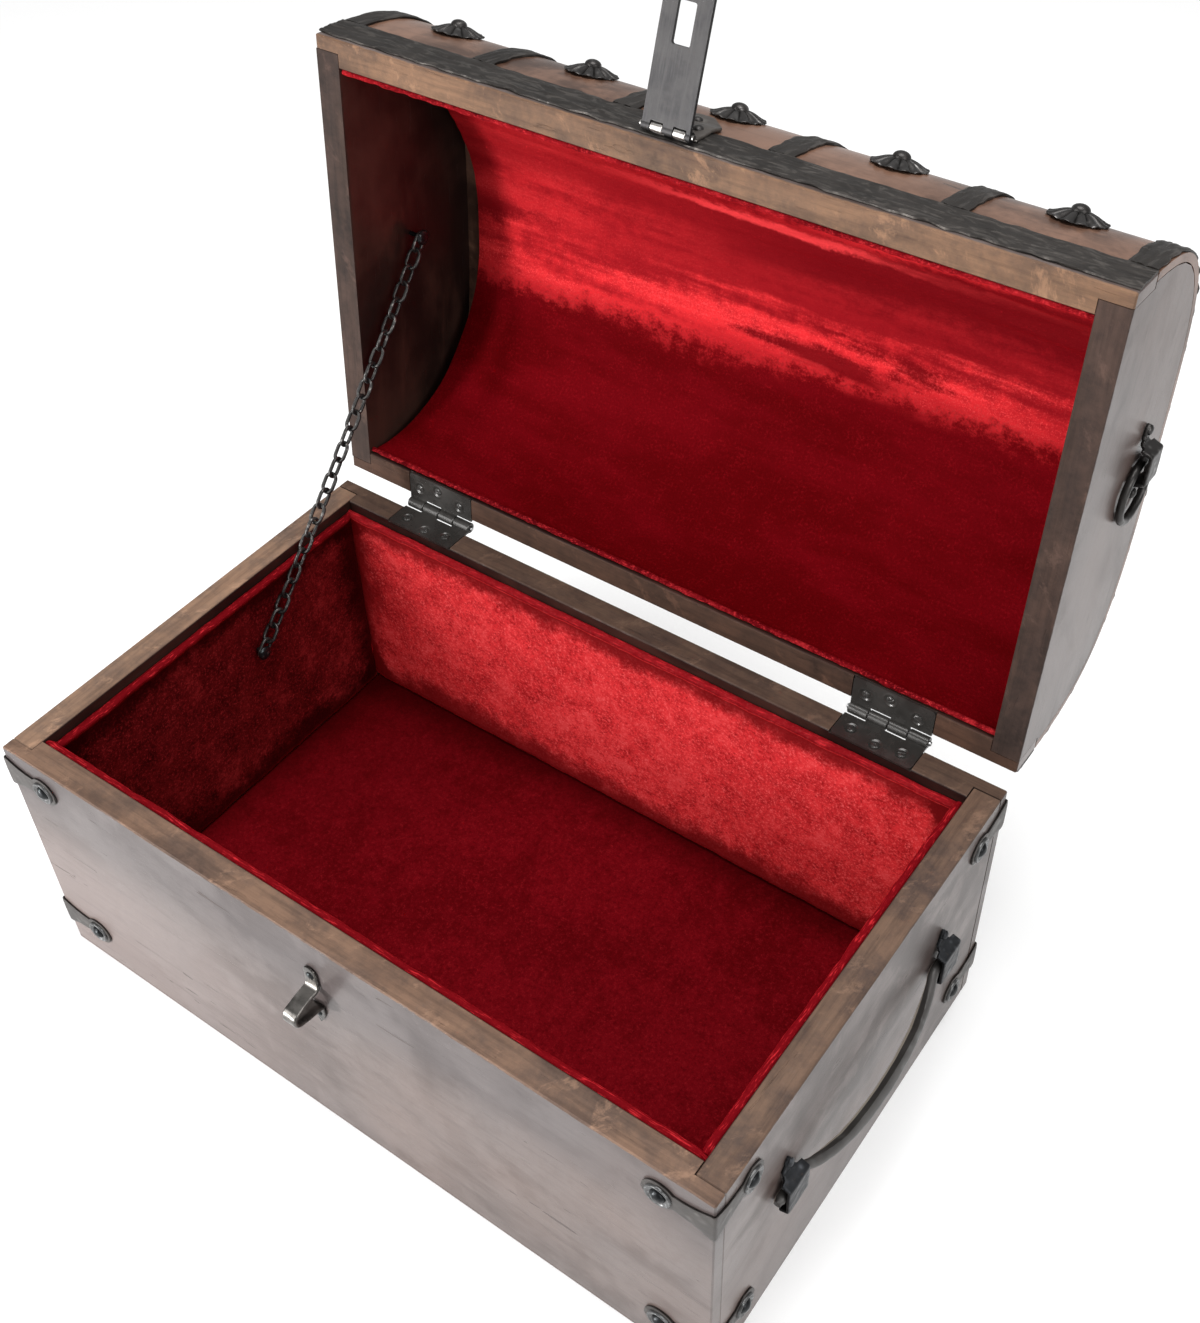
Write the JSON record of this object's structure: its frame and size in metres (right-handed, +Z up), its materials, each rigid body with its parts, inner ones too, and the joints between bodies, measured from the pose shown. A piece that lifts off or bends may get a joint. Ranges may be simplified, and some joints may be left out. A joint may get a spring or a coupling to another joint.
{
  "type": "treasure chest",
  "caption": "Barrel-lidded boarded chest with iron corners, bands and rosettes, side handles, ring pulls, slotted hasp and staple, butt hinges, lid chain and velvet lining.",
  "frame": {"origin": "middle of the underside of the box", "axes": "+Z up, -Y out of the front with the hasp, +X to the right seen from the front; the lid stands open"},
  "size_m": [0.4588, 0.4003, 0.4951],
  "materials": {
    "box_front_board": "dark stained, semi-gloss",
    "box_back_board": "dark stained, semi-gloss",
    "box_left_end": "dark stained, semi-gloss",
    "box_right_end": "dark stained, semi-gloss",
    "box_bottom": "dark stained, semi-gloss",
    "lining_floor": "crushed velvet",
    "lining_front": "crushed velvet",
    "lining_back": "crushed velvet",
    "lining_left": "crushed velvet",
    "lining_right": "crushed velvet",
    "corner_bracket_front_left_top": "blackened",
    "corner_bracket_front_left_bottom": "blackened",
    "corner_bracket_front_right_top": "blackened",
    "corner_bracket_front_right_bottom": "blackened",
    "corner_bracket_back_left_top": "blackened",
    "corner_bracket_back_left_bottom": "blackened",
    "corner_bracket_back_right_top": "blackened",
    "corner_bracket_back_right_bottom": "blackened",
    "handle_left_saddle_front": "blackened",
    "handle_left_saddle_back": "blackened",
    "handle_right_saddle_front": "blackened",
    "handle_right_saddle_back": "blackened",
    "hasp_staple": "dull grey",
    "chain_nail_box": "blackened",
    "hinge_left_box_leaf": "blackened",
    "hinge_right_box_leaf": "blackened",
    "hinge_left_pin": "bright",
    "hinge_right_pin": "bright",
    "lid_left_end": "dark stained, semi-gloss",
    "lid_right_end": "dark stained, semi-gloss",
    "lid_barrel": "dark stained, semi-gloss",
    "lid_front_rail": "dark stained, semi-gloss",
    "lid_back_rail": "dark stained, semi-gloss",
    "lid_lining": "crushed velvet",
    "lid_band_1": "blackened",
    "lid_band_2": "blackened",
    "lid_band_3": "blackened",
    "lid_band_4": "blackened",
    "lid_band_5": "blackened",
    "lid_band_6": "blackened",
    "lid_edge_band_front": "blackened",
    "lid_edge_band_back": "blackened",
    "rosette_1": "blackened",
    "rosette_2": "blackened",
    "rosette_3": "blackened",
    "rosette_4": "blackened",
    "rosette_5": "blackened",
    "hinge_left_lid_leaf": "blackened",
    "hinge_right_lid_leaf": "blackened",
    "hasp_plate": "blackened",
    "ring_saddle_left": "blackened",
    "ring_saddle_right": "blackened",
    "chain_nail_lid": "blackened",
    "hasp_strap": "dull grey",
    "handle_left_bail": "blackened",
    "handle_right_bail": "blackened",
    "ring_pull_left": "blackened",
    "ring_pull_right": "blackened",
    "chain_lower": "dull grey",
    "chain_upper": "dull grey"
  },
  "bodies": {
    "box": {"box_front_board": "box_front_board", "box_back_board": "box_back_board", "box_left_end": "box_left_end", "box_right_end": "box_right_end", "box_bottom": "box_bottom", "lining_floor": "lining_floor", "lining_front": "lining_front", "lining_back": "lining_back", "lining_left": "lining_left", "lining_right": "lining_right", "corner_bracket_front_left_top": "corner_bracket_front_left_top", "corner_bracket_front_left_bottom": "corner_bracket_front_left_bottom", "corner_bracket_front_right_top": "corner_bracket_front_right_top", "corner_bracket_front_right_bottom": "corner_bracket_front_right_bottom", "corner_bracket_back_left_top": "corner_bracket_back_left_top", "corner_bracket_back_left_bottom": "corner_bracket_back_left_bottom", "corner_bracket_back_right_top": "corner_bracket_back_right_top", "corner_bracket_back_right_bottom": "corner_bracket_back_right_bottom", "handle_left_saddle_front": "handle_left_saddle_front", "handle_left_saddle_back": "handle_left_saddle_back", "handle_right_saddle_front": "handle_right_saddle_front", "handle_right_saddle_back": "handle_right_saddle_back", "hasp_staple": "hasp_staple", "chain_nail_box": "chain_nail_box", "hinge_left_box_leaf": "hinge_left_box_leaf", "hinge_right_box_leaf": "hinge_right_box_leaf", "hinge_left_pin": "hinge_left_pin", "hinge_right_pin": "hinge_right_pin"},
    "lid": {"lid_left_end": "lid_left_end", "lid_right_end": "lid_right_end", "lid_barrel": "lid_barrel", "lid_front_rail": "lid_front_rail", "lid_back_rail": "lid_back_rail", "lid_lining": "lid_lining", "lid_band_1": "lid_band_1", "lid_band_2": "lid_band_2", "lid_band_3": "lid_band_3", "lid_band_4": "lid_band_4", "lid_band_5": "lid_band_5", "lid_band_6": "lid_band_6", "lid_edge_band_front": "lid_edge_band_front", "lid_edge_band_back": "lid_edge_band_back", "rosette_1": "rosette_1", "rosette_2": "rosette_2", "rosette_3": "rosette_3", "rosette_4": "rosette_4", "rosette_5": "rosette_5", "hinge_left_lid_leaf": "hinge_left_lid_leaf", "hinge_right_lid_leaf": "hinge_right_lid_leaf", "hasp_plate": "hasp_plate", "ring_saddle_left": "ring_saddle_left", "ring_saddle_right": "ring_saddle_right", "chain_nail_lid": "chain_nail_lid"},
    "hasp": {"hasp_strap": "hasp_strap"},
    "handle_left": {"handle_left_bail": "handle_left_bail"},
    "handle_right": {"handle_right_bail": "handle_right_bail"},
    "ring_left": {"ring_pull_left": "ring_pull_left"},
    "ring_right": {"ring_pull_right": "ring_pull_right"},
    "chain_low": {"chain_lower": "chain_lower"},
    "chain_high": {"chain_upper": "chain_upper"}
  },
  "joints": [
    {"name": "lid_hinge", "type": "hinge", "parent": "box", "child": "lid", "pos_m": [0, 0.135, 0.1625], "axis": [1, 0, 0], "range_deg": [0, 95], "deforming": ["chain_lower", "chain_upper"]},
    {"name": "hasp_hinge", "type": "hinge", "parent": "lid", "child": "hasp", "pos_m": [-0.006, 0.16274, 0.4302], "axis": [1, 0, 0], "range_deg": [-35, 104]},
    {"name": "handle_left_swing", "type": "hinge", "parent": "box", "child": "handle_left", "pos_m": [-0.2184, 0, 0.094], "axis": [0, 1, 0], "range_deg": [-29, 60]},
    {"name": "handle_right_swing", "type": "hinge", "parent": "box", "child": "handle_right", "pos_m": [0.2184, 0, 0.094], "axis": [0, -1, 0], "range_deg": [-29, 60]},
    {"name": "ring_left_swing", "type": "hinge", "parent": "lid", "child": "ring_left", "pos_m": [-0.2175, 0.21454, 0.30862], "axis": [0, 0.9962, -0.0872], "range_deg": [0, 150]},
    {"name": "ring_right_swing", "type": "hinge", "parent": "lid", "child": "ring_right", "pos_m": [0.2175, 0.21454, 0.30862], "axis": [0, -0.9962, 0.0872], "range_deg": [0, 150]},
    {"name": "chain_lower_turn", "type": "hinge", "parent": "box", "child": "chain_low", "pos_m": [-0.1928, 0.0243, 0.1152], "axis": [1, 0, 0], "range_deg": [-74, 0]},
    {"name": "chain_upper_turn", "type": "hinge", "parent": "lid", "child": "chain_high", "pos_m": [-0.1928, 0.19362, 0.30132], "axis": [1, 0, 0], "range_deg": [-13.5, 0]}
  ],
  "couplings": [
    {"joint": "chain_lower_turn", "follows": "lid_hinge", "ratio": -0.772},
    {"joint": "chain_upper_turn", "follows": "lid_hinge", "ratio": -0.136}
  ]
}
